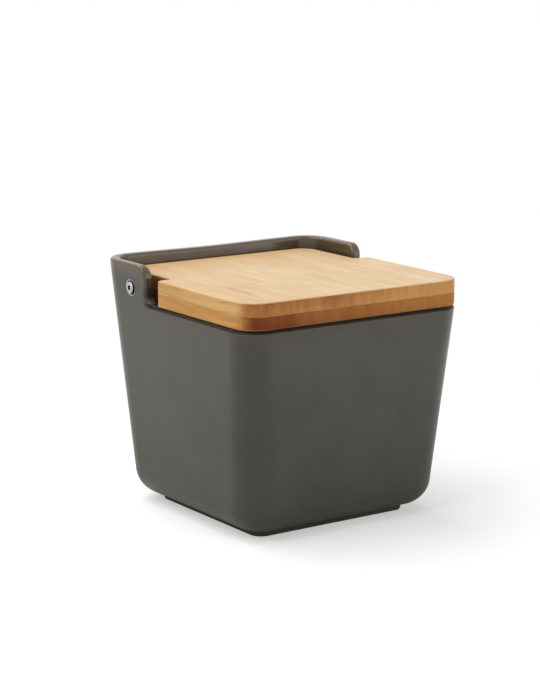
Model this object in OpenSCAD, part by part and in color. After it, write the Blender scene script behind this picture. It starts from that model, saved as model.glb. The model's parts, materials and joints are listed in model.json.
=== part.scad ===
// Stoneware salt box: a square tapered pot with a hood at the back, and a bamboo lid
// of two glued plies that swings on two screws held in the hood's ears.
// Millimetres, +Z up, the front faces -Y. The origin is on the floor, below the middle
// of the pot's low rim.

/* [Pot] */
// Outer width of the pot at the low rim
rim_w = 123; // [104:0.2:150]
// Outer depth of the pot at the low rim
rim_d = 120.4; // [104:0.2:150]
// Height of the low rim above the floor
rim_h = 98.6; // [70:0.2:130]
// How far the hood stands above the low rim
hood_rise = 17.9; // [15:0.1:24]
// Length of the hood's sides, from the back of the rim to the front of the ears
hood_len = 38.6; // [34:0.2:46]
// Thickness of the walls
wall_t = 4.8; // [3.8:0.1:6]
// Rounding of the two edges of the flat lip
lip_edge_r = 1.4; // [0.6:0.1:1.8]
// Thickness of the floor above the recess of the foot
floor_t = 6.4; // [4.5:0.1:9]
// Taper of each wall from upright, in degrees
taper_deg = 4.4; // [1:0.1:6]
// Radius of the upright corners at the low rim
corner_r = 14.3; // [11:0.1:20]
// How much larger that radius is at the floor
corner_spread = 1.9; // [0:0.1:4]
// Radius of the outer edge between the walls and the base
base_r = 11.3; // [7:0.1:13]
// Radius of the inner edge between the walls and the floor
inner_base_r = 7.5; // [4:0.1:9]
// Radius of the hollow curve where the low rim sweeps up into the ears
sweep_r = 7; // [5:0.1:12]
// Radius of the round shoulder on top of the ears
shoulder_r = 6.2; // [4.5:0.1:8]

/* [Foot] */
// Height of the foot ring
foot_h = 3.2; // [2:0.1:5]
// How far the foot stands in from the corner where wall and base would meet
foot_inset = 11.6; // [11.3:0.1:16]
// Radius of the foot's corners
foot_corner_r = 6.2; // [4:0.1:9]
// Width of the ring that the pot stands on
foot_ring_w = 4.5; // [3:0.1:8]
// Depth of the recess inside the ring
foot_recess = 1.6; // [0.6:0.1:1.9]
// Bevel of the foot's lower edges
foot_bevel = 0.6; // [0.3:0.1:1.2]

/* [Lid] */
// Thickness of the upper bamboo ply
upper_ply_t = 6.2; // [4.5:0.1:8]
// Thickness of the lower bamboo ply
lower_ply_t = 6.1; // [4.5:0.1:8]
// How far the sides of the lid's wide part stay inside the rim's outer edge
lid_side_inset = 0.8; // [0.4:0.1:2.2]
// How far the lid's front stays inside the rim's outer edge
lid_front_inset = 1.2; // [0.4:0.1:2.2]
// Radius of the lid's front corners
lid_corner_r = 11.6; // [8:0.1:20]
// Gap between the ears and the back edge of the lid's wide part
notch_gap = 7.8; // [5:0.1:11]
// Radius of the back corners of the wide part
notch_outer_r = 1.8; // [1.6:0.1:3]
// Radius in the corner between the wide part and the tongue
notch_inner_r = 2; // [1:0.1:4]
// Gap between the tongue and each ear, at rim height
tongue_side_gap = 3.9; // [2:0.1:5]
// Radius of the tongue's back corners
tongue_corner_r = 8; // [4:0.1:14]
// Clearance between the swinging back edge of the tongue and the hood
swing_gap = 1.2; // [0.6:0.1:2]
// Gap between the rim and the closed lid
seat_gap = 0.3; // [0.2:0.05:0.5]
// Rounding of the lid's upper edge
upper_edge_r = 0.9; // [0.5:0.1:1.5]
// Rounding of the lid's lower edge
lower_edge_r = 0.8; // [0.3:0.1:1.5]

/* [Hinge] */
// Distance from the back of the rim to the hinge axis
hinge_inset = 25.8; // [22:0.2:29]
// Radius of the hole in each ear
ear_hole_r = 3.45; // [3.2:0.05:4.2]
// Radial play of the sleeve in the ear's hole
sleeve_play = 0.1; // [0.05:0.01:0.2]
// How far the sleeve's outer end lies below the ear's face
sleeve_recess = 0.7; // [0.3:0.1:1.4]
// Gap between the sleeve's inner end and the tongue
sleeve_end_gap = 0.3; // [0.2:0.05:0.6]
// Radius of the screw
screw_r = 1.5; // [1.2:0.05:1.8]
// Radial running clearance of the screw in the sleeve
screw_play = 0.05; // [0.03:0.01:0.08]
// Length of the screw below its head
screw_l = 22; // [17:0.5:30]
// Length of the screw's point
point_l = 3; // [1.5:0.1:4]
// Radius of the screw's pan head
head_r = 2.8; // [2.4:0.05:3.1]
// Height of the screw's pan head
head_h = 1.5; // [1:0.1:2]
// Gap between the screw's head and the sleeve
head_gap = 0.05; // [0.03:0.01:0.1]
// Width of each arm of the cross recess
cross_w = 0.7; // [0.5:0.05:0.9]
// Length across the cross recess
cross_l = 3.2; // [2.2:0.1:3.6]
// Depth of the cross recess
cross_depth = 1; // [0.5:0.1:1.2]
// How far the cross is turned on the head, in degrees
cross_turn = -30; // [-45:5:45]

/* [Hidden] */

GLAZE = [0.30, 0.29, 0.27];
BAMBOO_LIGHT = [0.86, 0.70, 0.50];
BAMBOO_DARK = [0.75, 0.53, 0.33];
STEEL = [0.74, 0.74, 0.72];
BLACK_NYLON = [0.08, 0.08, 0.08];

// Steps of each curve
CORNER_STEPS = 10;
SWEEP_STEPS = 8;
SHOULDER_STEPS = 6;
PLAIN_STEPS = 3;
LIP_STEPS = 3;
ROUND_STEPS = 6;
EDGE_STEPS = 4;
SMALL_STEPS = 3;

taper = tan(taper_deg);
// The lip starts half a wall's thickness below its top
lip_r = wall_t / 2;
lip_edge = min(lip_edge_r, wall_t * 0.4);
hood_h = rim_h + hood_rise;
// Height of the lip's centre line on the low rim and on the hood
low_lip_z = rim_h - lip_r;
hood_lip_z = hood_h - lip_r;
// Where the front edge of the ears stands
ear_y = rim_d / 2 - hood_len;
// The two radii of the step share the rise between them
SWEEP_SHARE = 0.62;
SHOULDER_SHARE = 0.37;
sweep = min(sweep_r, hood_rise * SWEEP_SHARE);
shoulder = min(shoulder_r, hood_rise * SHOULDER_SHARE);
// Above this height the wall's columns fan out towards the curved rim
fan_z = rim_h * 0.6;
FAN_LEAN = 0.5;
// Least radius that an inset corner shrinks to
LEAST_R = 0.4;

floor_z = foot_recess + floor_t;

lid_z = rim_h + seat_gap;
lid_t = lower_ply_t + upper_ply_t;
glue_z = lid_z + lower_ply_t;
hinge_y = rim_d / 2 - hinge_inset;
hinge_z = lid_z + lid_t / 2;

lid_half_w = rim_w / 2 - lid_side_inset;
lid_front_y = -rim_d / 2 + lid_front_inset;
notch_y = ear_y - notch_gap;
tongue_half_w = rim_w / 2 - wall_t - tongue_side_gap;
// The tongue is as long as lets its corners swing past the back wall
swing_r = half_d(hinge_z) - wall_t - swing_gap - hinge_y;
tongue_y = hinge_y + sqrt(swing_r * swing_r - lid_t * lid_t / 4);

ear_face_x = half_w(hinge_z);
sleeve_outer_x = ear_face_x - sleeve_recess;
sleeve_inner_x = tongue_half_w + sleeve_end_gap;
sleeve_bore_r = screw_r + screw_play;
head_x = sleeve_outer_x + head_gap;

// Half width and half depth of the pot's outside at height z
function half_w(z) = rim_w / 2 + (z - rim_h) * taper;
function half_d(z) = rim_d / 2 + (z - rim_h) * taper;
function corner_at(z) = corner_r + corner_spread * (rim_h - z) / rim_h;
function mix(a, b, f) = a + (b - a) * f;

// A station is one column of the pot's wall, seen from above:
// [share of the straight half width, share of the straight half depth below the fan,
//  the same at the lip, direction the wall faces, height of the lip's centre, lip's lean].
// The lip leans from 0, straight up, to 90, facing the front.
function side_station(y, z, lean) = [
    1,
    (y + FAN_LEAN * (z - low_lip_z)) / (half_d(fan_z) - corner_at(fan_z)),
    y / (half_d(z) - corner_at(z)),
    0, z, lean];

function sweep_station(lean) = side_station(
    ear_y - sweep + (sweep + lip_r) * sin(lean),
    rim_h + sweep - (sweep + lip_r) * cos(lean), lean);

function shoulder_station(lean) = side_station(
    ear_y + shoulder - (shoulder - lip_r) * sin(lean),
    hood_h - shoulder + (shoulder - lip_r) * cos(lean), lean);

front_right = [1, -1, -1, 0, low_lip_z, 0];
back_right = [1, 1, 1, 0, hood_lip_z, 0];

right_side = concat(
    [for (i = [1 : PLAIN_STEPS]) mix(front_right, sweep_station(0), i / (PLAIN_STEPS + 1))],
    [for (i = [0 : SWEEP_STEPS]) sweep_station(90 * i / SWEEP_STEPS)],
    [for (i = [SHOULDER_STEPS : -1 : 0]) shoulder_station(90 * i / SHOULDER_STEPS)],
    [for (i = [1 : PLAIN_STEPS]) mix(shoulder_station(0), back_right, i / (PLAIN_STEPS + 1))]);

left_side = [for (i = [len(right_side) - 1 : -1 : 0]) let (s = right_side[i])
    [-s[0], s[1], s[2], 180, s[4], s[5]]];

function corner_stations(x, y, turn, z) =
    [for (i = [0 : CORNER_STEPS]) [x, y, y, turn + 90 * i / CORNER_STEPS, z, 0]];
function cross_stations(from, y, turn, z) =
    [for (i = [1 : PLAIN_STEPS]) [from * (1 - 2 * i / (PLAIN_STEPS + 1)), y, y, turn, z, 0]];

stations = concat(
    right_side,
    corner_stations(1, 1, 0, hood_lip_z),
    cross_stations(1, 1, 90, hood_lip_z),
    corner_stations(-1, 1, 90, hood_lip_z),
    left_side,
    corner_stations(-1, -1, 180, low_lip_z),
    cross_stations(-1, -1, 270, low_lip_z),
    corner_stations(1, -1, 270, low_lip_z));

// A rounded rectangle's point at one station: half width, half depth, corner radius, inset
function plan_point(s, share, a, b, r, inset) = let (rr = max(r - inset, LEAST_R)) [
    s[0] * (a - r) + rr * cos(s[3]),
    share * (b - r) + rr * sin(s[3])];

function wall_point(s, share, z, inset) = let (
    p = plan_point(s, share, half_w(z), half_d(z), corner_at(z), inset))
    [p[0], p[1], z];

// Below the fan a ring is level; in the fan it climbs towards the lip as f goes to 1
function level_ring(z, inset) = [for (s = stations) wall_point(s, s[1], z, inset)];
function fan_ring(f, inset) =
    [for (s = stations) wall_point(s, mix(s[1], s[2], f), mix(fan_z, s[4], f), inset)];

// The lip's edge on one side, 1 for the outer and -1 for the inner, turns from the face
// of the wall, 0, to the lip's flat top, 90
function lip_point(s, side, turn) = let (
    out = [cos(s[3]), sin(s[3]), 0],
    up = [taper * cos(s[3]), taper * sin(s[3]), 1],
    ahead = cos(s[5]) * up / norm(up) + sin(s[5]) * [0, -1, 0],
    flat = lip_r - lip_edge)
    wall_point(s, s[2], s[4], lip_r) + side * (flat + lip_edge * cos(turn)) * out
        + (flat + lip_edge * sin(turn)) * ahead;
function lip_ring(side, turn) = [for (s = stations) lip_point(s, side, turn)];

function foot_ring(z, inset) = [for (s = stations) let (
    p = plan_point(s, s[1], half_w(foot_h) - foot_inset, half_d(foot_h) - foot_inset,
                   foot_corner_r, inset))
    [p[0], p[1], z]];

pot_rings = concat(
    [foot_ring(foot_recess, foot_ring_w + foot_recess),
     foot_ring(0, foot_ring_w),
     foot_ring(0, foot_bevel),
     foot_ring(foot_bevel, 0),
     foot_ring(foot_h, 0)],
    [for (i = [0 : ROUND_STEPS]) let (a = 90 * i / ROUND_STEPS)
        level_ring(foot_h + base_r * (1 - cos(a)), base_r * (1 - sin(a)))],
    [level_ring(mix(foot_h + base_r, fan_z, 0.5), 0)],
    [for (i = [0 : PLAIN_STEPS]) fan_ring(i / PLAIN_STEPS, 0)],
    [for (i = [0 : LIP_STEPS]) lip_ring(1, 90 * i / LIP_STEPS)],
    [for (i = [LIP_STEPS : -1 : 0]) lip_ring(-1, 90 * i / LIP_STEPS)],
    [for (i = [PLAIN_STEPS : -1 : 0]) fan_ring(i / PLAIN_STEPS, wall_t)],
    [for (i = [ROUND_STEPS : -1 : 0]) let (a = 90 * i / ROUND_STEPS)
        level_ring(floor_z + inner_base_r * (1 - cos(a)), wall_t + inner_base_r * (1 - sin(a)))]);

// Joins rings that run anticlockwise, from the lowest or first to the last, into one
// closed solid, with a fan of triangles across both ends
module skin(rings, first_middle, last_middle) {
    n = len(rings[0]);
    last = (len(rings) - 1) * n;
    middle = len(rings) * n;
    points = concat([for (ring = rings) each ring], [first_middle, last_middle]);
    sides = [for (j = [0 : len(rings) - 2], i = [0 : n - 1])
        let (a = j * n + i, b = j * n + (i + 1) % n)
        each [[a, a + n, b + n], [a, b + n, b]]];
    ends = [for (i = [0 : n - 1]) let (k = (i + 1) % n)
        each [[middle, i, k], [middle + 1, last + k, last + i]]];
    polyhedron(points, concat(sides, ends), convexity = 10);
}

// Stands a shape that points along +Z on the hinge axis, pointing out of one ear
module on_hinge(side) {
    translate([0, hinge_y, hinge_z])
        rotate([0, 90 * side, 0])
            children();
}

module pot() {
    color(GLAZE)
        difference() {
            skin(pot_rings, [0, 0, foot_recess], [0, 0, floor_z]);
            translate([-rim_w, hinge_y, hinge_z])
                rotate([0, 90, 0])
                    cylinder(r = ear_hole_r, h = 2 * rim_w, $fn = 48);
        }
}

module hinge_sleeve(side) {
    color(BLACK_NYLON)
        on_hinge(side)
            translate([0, 0, sleeve_inner_x])
                difference() {
                    cylinder(r = ear_hole_r - sleeve_play, h = sleeve_outer_x - sleeve_inner_x, $fn = 48);
                    translate([0, 0, -1])
                        cylinder(r = sleeve_bore_r, h = sleeve_outer_x - sleeve_inner_x + 2, $fn = 48);
                }
}

// The pan head, the plain shank and the point are one turned profile
head_crown = head_h * 0.6;
screw_profile = concat(
    [[0, -screw_l], [screw_r, point_l - screw_l], [screw_r, 0], [head_r, 0]],
    [for (i = [0 : EDGE_STEPS]) let (a = 90 * i / EDGE_STEPS)
        [head_r - head_crown * (1 - cos(a)), head_h - head_crown * (1 - sin(a))]],
    [[0, head_h]]);

module hinge_screw(side) {
    color(STEEL)
        on_hinge(side)
            translate([0, 0, head_x])
                difference() {
                    rotate_extrude($fn = 48)
                        polygon(screw_profile);
                    for (turn = [cross_turn, cross_turn + 90])
                        rotate([0, 0, turn])
                            translate([-cross_l / 2, -cross_w / 2, head_h - cross_depth])
                                cube([cross_l, cross_w, cross_depth + 1]);
                }
}

// One rounded corner of the lid's outline. A positive turn is an outer corner, and the
// inset draws the edge in towards the middle of the board.
function arc(centre, r, from, turn, inset, steps) = [for (i = [0 : steps])
    let (a = from + turn * i / steps, rr = turn > 0 ? r - inset : r + inset)
    centre + rr * [cos(a), sin(a)]];

function mirrored(points) = [for (i = [len(points) - 1 : -1 : 0]) [-points[i][0], points[i][1]]];

function right_outline(inset) = concat(
    arc([lid_half_w - lid_corner_r, lid_front_y + lid_corner_r],
        lid_corner_r, -90, 90, inset, CORNER_STEPS),
    arc([lid_half_w - notch_outer_r, notch_y - notch_outer_r],
        notch_outer_r, 0, 90, inset, SMALL_STEPS),
    arc([tongue_half_w + notch_inner_r, notch_y + notch_inner_r],
        notch_inner_r, 270, -90, inset, SMALL_STEPS),
    arc([tongue_half_w - tongue_corner_r, tongue_y - tongue_corner_r],
        tongue_corner_r, 0, 90, inset, ROUND_STEPS));

function board_ring(z, inset) = [for (p = concat(right_outline(inset), mirrored(right_outline(inset))))
    [p[0], p[1], z]];

// A ply from z0 to z1 with its lower and upper edges rounded
module ply(z0, z1, low_r, high_r) {
    low = [for (i = [0 : EDGE_STEPS]) let (a = 90 * i / EDGE_STEPS)
        board_ring(z0 + low_r * (1 - cos(a)), low_r * (1 - sin(a)))];
    high = [for (i = [EDGE_STEPS : -1 : 0]) let (a = 90 * i / EDGE_STEPS)
        board_ring(z1 - high_r * (1 - cos(a)), high_r * (1 - sin(a)))];
    skin(concat(low_r > 0 ? low : [board_ring(z0, 0)], high_r > 0 ? high : [board_ring(z1, 0)]),
         [0, 0, z0], [0, 0, z1]);
}

// The pilot holes run a little deeper than the screws' points
PILOT_EXTRA = 1;
module pilot_holes() {
    depth = screw_l - (head_x - tongue_half_w) + PILOT_EXTRA;
    for (side = [-1, 1])
        on_hinge(side)
            translate([0, 0, tongue_half_w - depth])
                cylinder(r = screw_r + screw_play, h = depth + 1, $fn = 48);
}

module lid_upper_ply() {
    color(BAMBOO_LIGHT)
        difference() {
            ply(glue_z, lid_z + lid_t, 0, upper_edge_r);
            pilot_holes();
        }
}

module lid_lower_ply() {
    color(BAMBOO_DARK)
        difference() {
            ply(lid_z, glue_z, lower_edge_r, 0);
            pilot_holes();
        }
}

pot();
hinge_sleeve(-1);  // left_hinge_sleeve
hinge_sleeve(1);  // right_hinge_sleeve
hinge_screw(-1);  // left_hinge_screw
hinge_screw(1);  // right_hinge_screw
lid_upper_ply();
lid_lower_ply();
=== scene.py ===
import json
import math
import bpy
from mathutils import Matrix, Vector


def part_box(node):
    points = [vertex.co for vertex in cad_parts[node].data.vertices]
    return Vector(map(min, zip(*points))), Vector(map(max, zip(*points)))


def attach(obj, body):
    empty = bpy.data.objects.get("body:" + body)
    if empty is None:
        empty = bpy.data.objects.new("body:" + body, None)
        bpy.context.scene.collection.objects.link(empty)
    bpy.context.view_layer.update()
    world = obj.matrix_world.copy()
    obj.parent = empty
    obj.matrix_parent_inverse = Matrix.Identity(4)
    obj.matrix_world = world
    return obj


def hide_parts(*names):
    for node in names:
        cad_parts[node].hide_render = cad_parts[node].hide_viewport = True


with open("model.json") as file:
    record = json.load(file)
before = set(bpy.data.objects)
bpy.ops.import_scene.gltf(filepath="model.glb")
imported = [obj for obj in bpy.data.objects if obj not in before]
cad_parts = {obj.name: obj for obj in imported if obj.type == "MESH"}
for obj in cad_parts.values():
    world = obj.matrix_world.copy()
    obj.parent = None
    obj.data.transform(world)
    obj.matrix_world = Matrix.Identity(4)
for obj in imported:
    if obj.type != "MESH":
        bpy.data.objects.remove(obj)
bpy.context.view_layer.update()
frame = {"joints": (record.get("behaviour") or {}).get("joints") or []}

from types import SimpleNamespace

import bmesh
import bpy
from mathutils import Matrix, Vector

# A square stoneware salt box with a hood at the back, and a lid of two bamboo plies that
# swings on two screws. Metres, +Z up, and the front faces -Y.

MM = 0.001
QUARTER = math.pi / 2
WHITE = (1, 1, 1, 1)

# Corners sharper than this angle stay crisp, and edges shorter than a speck are closed up
SHARP_FROM = math.radians(38)
SPECK = 0.0003 * MM


# Sizes taken from the frame

POT_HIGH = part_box("pot")[1]
LOWER_LOW, LOWER_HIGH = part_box("lid_lower_ply")
UPPER_LOW, UPPER_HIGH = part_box("lid_upper_ply")
SLEEVE_LOW, SLEEVE_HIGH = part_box("right_hinge_sleeve")
SCREW_LOW, SCREW_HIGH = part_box("right_hinge_screw")
HINGE = Vector(frame["joints"][0]["pos_m"])

# The pot's own sizes

WALL = 4.8 * MM
LIP_EDGE = 1.4 * MM
TAPER = math.tan(math.radians(4.4))
RIM_H = 98.6 * MM
HOOD_RISE = POT_HIGH.z - RIM_H
EAR_HOLE_R = 3.45 * MM
EAR_HOLE_ROUND = 0.4 * MM

# The walls lean out as far as the top of the lip's upright faces
HOOD_LEAN = (HOOD_RISE - LIP_EDGE) * TAPER

POT_SIZES = {
    "rim_h": RIM_H,
    "hood_h": POT_HIGH.z,
    "rim_half_w": POT_HIGH.x - HOOD_LEAN,
    "rim_half_d": POT_HIGH.y - HOOD_LEAN,
    "wall": WALL,
    "lip_edge": LIP_EDGE,
    "taper": TAPER,
    "hood_len": 38.6 * MM,
    "corner_r": 14.3 * MM,
    "corner_spread": 1.9 * MM,
    "sweep_r": 7.0 * MM,
    "shoulder_r": 6.2 * MM,
    "base_r": 11.3 * MM,
    "inner_base_r": 7.5 * MM,
    "floor_z": 8.0 * MM,
    "fan_z": RIM_H * 0.6,
    "hood_dip": 0.4 * MM,
    "foot_h": 3.2 * MM,
    "foot_inset": 11.6 * MM,
    "foot_corner_r": 6.2 * MM,
    "foot_ring_w": 4.5 * MM,
    "foot_recess": 1.6 * MM,
    "foot_edge_r": 0.6 * MM,
}

LID_SIZES = {
    "half_w": UPPER_HIGH.x,
    "front_y": UPPER_LOW.y,
    "notch_y": 13.8 * MM,
    "tongue_half_w": 52.8 * MM,
    "tongue_y": UPPER_HIGH.y,
    "corner_r": 11.6 * MM,
    "notch_outer_r": 1.8 * MM,
    "notch_inner_r": 2.0 * MM,
    "tongue_corner_r": 8.0 * MM,
}

# The rounds of the board's two outer edges, and of the edges along the glue
LID_TOP_R = 0.9 * MM
LID_UNDER_R = 0.8 * MM
GLUE_EDGE_R = 0.12 * MM

# The holes in the board that the screws are driven into
PILOT_R = 1.55 * MM

SLEEVE_SIZES = {
    "bore_r": 1.55 * MM,
    "outer_r": (SLEEVE_HIGH.z - SLEEVE_LOW.z) / 2,
    "inner_end": SLEEVE_LOW.x,
    "outer_end": SLEEVE_HIGH.x,
    "edge_r": 0.25 * MM,
}

HEAD_H = 1.5 * MM
SCREW_SIZES = {
    "head_r": (SCREW_HIGH.z - SCREW_LOW.z) / 2,
    "head_h": HEAD_H,
    "crown": 0.6 * MM,
    "shank_r": 1.5 * MM,
    "core_r": 1.02 * MM,
    "length": SCREW_HIGH.x - SCREW_LOW.x - HEAD_H,
    "plain": 6.0 * MM,
    "point": 3.6 * MM,
    "pitch": 1.25 * MM,
    "head_x": SCREW_HIGH.x - HEAD_H,
    "cross_len": 3.6 * MM,
    "cross_w": 1.25 * MM,
    "cross_depth": 1.15 * MM,
}


# Formulas in node trees

class Formula:
    """A number in a node tree, which ordinary arithmetic builds on."""

    def __init__(self, tree, socket):
        self.tree = tree
        self.socket = socket

    def maths(self, operation, *values):
        node = self.tree.nodes.new("ShaderNodeMath")
        node.operation = operation
        for entry, value in zip(node.inputs, values):
            feed(self.tree, entry, value)
        return Formula(self.tree, node.outputs[0])

    def __add__(self, other):
        return self.maths("ADD", self, other)

    def __radd__(self, other):
        return self.maths("ADD", other, self)

    def __sub__(self, other):
        return self.maths("SUBTRACT", self, other)

    def __rsub__(self, other):
        return self.maths("SUBTRACT", other, self)

    def __mul__(self, other):
        return self.maths("MULTIPLY", self, other)

    def __rmul__(self, other):
        return self.maths("MULTIPLY", other, self)

    def __truediv__(self, other):
        return self.maths("DIVIDE", self, other)

    def __rtruediv__(self, other):
        return self.maths("DIVIDE", other, self)

    def sin(self):
        return self.maths("SINE", self)

    def cos(self):
        return self.maths("COSINE", self)

    def size(self):
        return self.maths("ABSOLUTE", self)

    def sign(self):
        return self.maths("SIGN", self)

    def part(self):
        """What is left over past the whole number."""
        return self.maths("FRACT", self)

    def whole(self):
        return self.maths("FLOOR", self)

    def most(self, other):
        return self.maths("MAXIMUM", self, other)

    def under(self, other):
        return self.maths("LESS_THAN", self, other)

    def power(self, other):
        return self.maths("POWER", self, other)

    def clamped(self):
        made = self.maths("MULTIPLY", self, 1.0)
        made.socket.node.use_clamp = True
        return made


def feed(tree, entry, value):
    """Gives a node's input a formula, another node's output or a plain value."""
    if isinstance(value, Formula):
        tree.links.new(value.socket, entry)
    elif isinstance(value, bpy.types.NodeSocket):
        tree.links.new(value, entry)
    elif value is not None:
        entry.default_value = value


def mix(a, b, share):
    return a + (b - a) * share


def eased(share):
    """A share from 0 to 1 that starts and ends gently."""
    return share * share * (3.0 - 2.0 * share)


def rising(value, start, reach):
    """A share that grows from 0 at start to 1 a reach further on."""
    return ((value - start) / reach).clamped()


def falling(value, start, reach):
    """A share that grows from 0 at start to 1 a reach before it."""
    return ((start - value) / reach).clamped()


def near(distance, reach):
    """A share of 1 at no distance, which falls to 0 at a reach."""
    return 1.0 - (distance / reach).clamped()


def stages(along, counts):
    """Splits a count of steps into stages, each of which runs from 0 to 1 in its turn."""
    shares = []
    first = 0
    for count in counts:
        shares.append(rising(along, float(first), float(count)))
        first += count
    return shares


# Objects

def in_scene(name, data):
    """A new object that stands in the scene."""
    made = bpy.data.objects.new(name, data)
    bpy.context.scene.collection.objects.link(made)
    return made


def solid(name, mesh):
    """A closed mesh under construction, made an object whose faces point outwards."""
    bmesh.ops.recalc_face_normals(mesh, faces=mesh.faces)
    data = bpy.data.meshes.new(name)
    mesh.to_mesh(data)
    mesh.free()
    return in_scene(name, data)


# Shapes from Geometry Nodes

MERGE_WITHIN = 0.001 * MM


class Shape:
    """A Geometry Nodes tree with named sizes. It joins bands of faces, whose columns all
    line up, into one closed skin."""

    def __init__(self, name, sizes, columns):
        self.name = name
        self.sizes = sizes
        self.tree = bpy.data.node_groups.new(name, "GeometryNodeTree")
        sockets = self.tree.interface
        sockets.new_socket(name="Shape", in_out="OUTPUT", socket_type="NodeSocketGeometry")
        self.keys = {}
        for size in sizes:
            entry = sockets.new_socket(name=size, in_out="INPUT", socket_type="NodeSocketFloat")
            self.keys[size] = entry.identifier
        entry = sockets.new_socket(name="finish", in_out="INPUT", socket_type="NodeSocketMaterial")
        self.finish_key = entry.identifier
        self.entry = self.tree.nodes.new("NodeGroupInput")
        self.s = SimpleNamespace(**{size: self.given(size) for size in sizes})
        self.columns = columns
        place = self.node("ShaderNodeSeparateXYZ", Vector=self.node("GeometryNodeInputPosition"))
        self.column = Formula(self.tree, place.outputs["X"])
        self.row = Formula(self.tree, place.outputs["Y"])
        self.rise = Formula(self.tree, place.outputs["Z"])
        self.bands = []

    def node(self, kind, settings=None, **entries):
        made = self.tree.nodes.new(kind)
        for key, value in (settings or {}).items():
            setattr(made, key, value)
        for key, value in entries.items():
            if isinstance(value, bpy.types.Node):
                value = value.outputs[0]
            feed(self.tree, made.inputs[key.replace("_", " ")], value)
        return made

    def given(self, size):
        return Formula(self.tree, self.entry.outputs[size])

    def walk(self, along, start, heading, moves):
        """A path of straight runs and round turns. A move is a length and None, or a radius
        and a turn, left being positive, and then its count of steps."""
        u, v = start
        shares = stages(along, [steps for _, _, steps in moves])
        for share, (length, turn, _) in zip(shares, moves):
            if turn is None:
                u = u + share * length * math.cos(heading)
                v = v + share * length * math.sin(heading)
                continue
            begin = heading - math.copysign(QUARTER, turn)
            angle = share * turn + begin
            u = u + (angle.cos() - math.cos(begin)) * length
            v = v + (angle.sin() - math.sin(begin)) * length
            heading += turn
        return u, v

    def place(self, x, y, z):
        return self.node("ShaderNodeCombineXYZ", X=x, Y=y, Z=z)

    def band(self, rows, where, marks=None):
        """A band of faces. where(row) gives the place of a point, and marks(place) the
        values kept with it for the material."""

        # A grid in steps of 1, so that a point's place says its column and its row
        grid = self.node("GeometryNodeMeshGrid")
        grid.inputs["Size X"].default_value = 2 * self.columns
        grid.inputs["Size Y"].default_value = rows
        grid.inputs["Vertices X"].default_value = 2 * self.columns + 1
        grid.inputs["Vertices Y"].default_value = rows + 1
        row = self.row + rows / 2
        spot = where(row)
        made = grid.outputs["Mesh"]
        for name, value in (marks(spot) if marks else {}).items():
            made = self.node("GeometryNodeStoreNamedAttribute",
                             {"data_type": "FLOAT", "domain": "POINT"},
                             Geometry=made, Name=name, Value=value).outputs[0]
        moved = self.node("GeometryNodeSetPosition", Geometry=made, Position=self.place(*spot))
        self.bands.append(moved.outputs[0])

    def skin(self):
        """The bands, merged where they meet."""
        joined = self.node("GeometryNodeJoinGeometry")
        for made in reversed(self.bands):
            self.tree.links.new(made, joined.inputs[0])
        return self.node("GeometryNodeMergeByDistance", Geometry=joined,
                         Distance=MERGE_WITHIN).outputs[0]

    def build(self, shape, finish):
        """Ends the tree, and returns the finished piece as a plain mesh."""
        smooth = self.node("GeometryNodeSetShadeSmooth", Geometry=shape)
        real = self.node("GeometryNodeRealizeInstances", Geometry=smooth)
        dressed = self.node("GeometryNodeSetMaterial", Geometry=real,
                            Material=self.entry.outputs["finish"])
        end = self.tree.nodes.new("NodeGroupOutput")
        self.tree.links.new(dressed.outputs[0], end.inputs[0])
        holder = in_scene(self.name + "_holder", bpy.data.meshes.new("empty"))
        modifier = holder.modifiers.new("shape", "NODES")
        modifier.node_group = self.tree
        for size, value in self.sizes.items():
            modifier[self.keys[size]] = float(value)
        modifier[self.finish_key] = finish
        piece = plain_copy(holder, self.name)
        bpy.data.objects.remove(holder)
        return cleaned(piece)


def plain_copy(piece, name):
    """The evaluated piece as a new object with a plain mesh."""
    graph = bpy.context.evaluated_depsgraph_get()
    mesh = bpy.data.meshes.new_from_object(piece.evaluated_get(graph), depsgraph=graph,
                                           preserve_all_data_layers=True)
    mesh.name = name
    return in_scene(name, mesh)


def cleaned(piece):
    """The piece without the faces of no size that a cut leaves, and with crisp corners."""
    skin = bmesh.new()
    skin.from_mesh(piece.data)
    bmesh.ops.dissolve_degenerate(skin, dist=SPECK, edges=skin.edges)
    skin.to_mesh(piece.data)
    skin.free()
    piece.data.set_sharp_from_angle(angle=SHARP_FROM)
    return piece


def cut(piece, cutter):
    """The piece with the cutter's space taken out, under the same name."""
    name = piece.name
    step = piece.modifiers.new("cut", "BOOLEAN")
    step.operation = "DIFFERENCE"
    step.solver = "EXACT"
    step.object = cutter
    piece.name = name + "_uncut"
    made = plain_copy(piece, name)
    bpy.data.objects.remove(piece)
    bpy.data.objects.remove(cutter)
    return cleaned(made)


# The pot

# Steps from the front's middle to the back's middle: half the front, its corner, the low
# side, the hollow sweep, the ear's edge, its shoulder, the high side, the back corner and
# half the back
POT_COLUMNS = (10, 18, 14, 18, 5, 14, 10, 18, 12)

# Rows of each band, stage by stage, from the middle of the underside to the middle of the
# floor inside
UNDERSIDE_ROWS = (6, 8, 4, 6, 3, 6)
BASE_ROWS = 5
OUTSIDE_ROWS = (14, 14, 16)
LIP_ROWS = (2, 8, 4, 8, 2)
INSIDE_ROWS = (16, 14, 12, 10)

# The lip's own tone fades out over this height
LIP_FADE = 4.0 * MM

# How far apart the columns already are where they start to fan out, for each step that the
# lip climbs
FAN_LEAN = 0.5
FOOT_FILLET = 0.9 * MM
TIGHTEST_BEND = 0.4 * MM


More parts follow.
